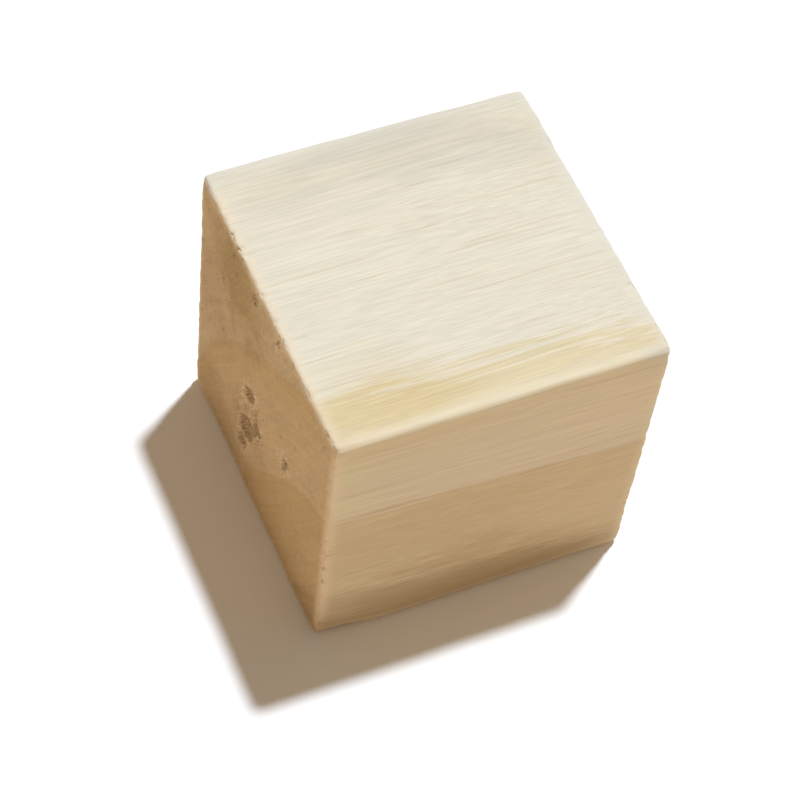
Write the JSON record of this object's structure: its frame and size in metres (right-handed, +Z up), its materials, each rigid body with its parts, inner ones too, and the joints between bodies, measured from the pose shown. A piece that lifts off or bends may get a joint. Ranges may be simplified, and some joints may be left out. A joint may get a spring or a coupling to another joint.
{
  "type": "wooden cube",
  "caption": "Small plain cube of solid pine, sawn square with lightly eased edges, for craft, stacking, spacing and sorting work.",
  "frame": {"origin": "middle of the bottom face", "axes": "+Z up; the grain runs along X, so the end-grain faces are -X and +X; -Y is the long-grain face towards the viewer"},
  "size_m": [0.015, 0.015, 0.015],
  "materials": {
    "pine": "unfinished, fine sawn, matt"
  },
  "bodies": {
    "root": {"cube_block": "pine"}
  },
  "joints": []
}
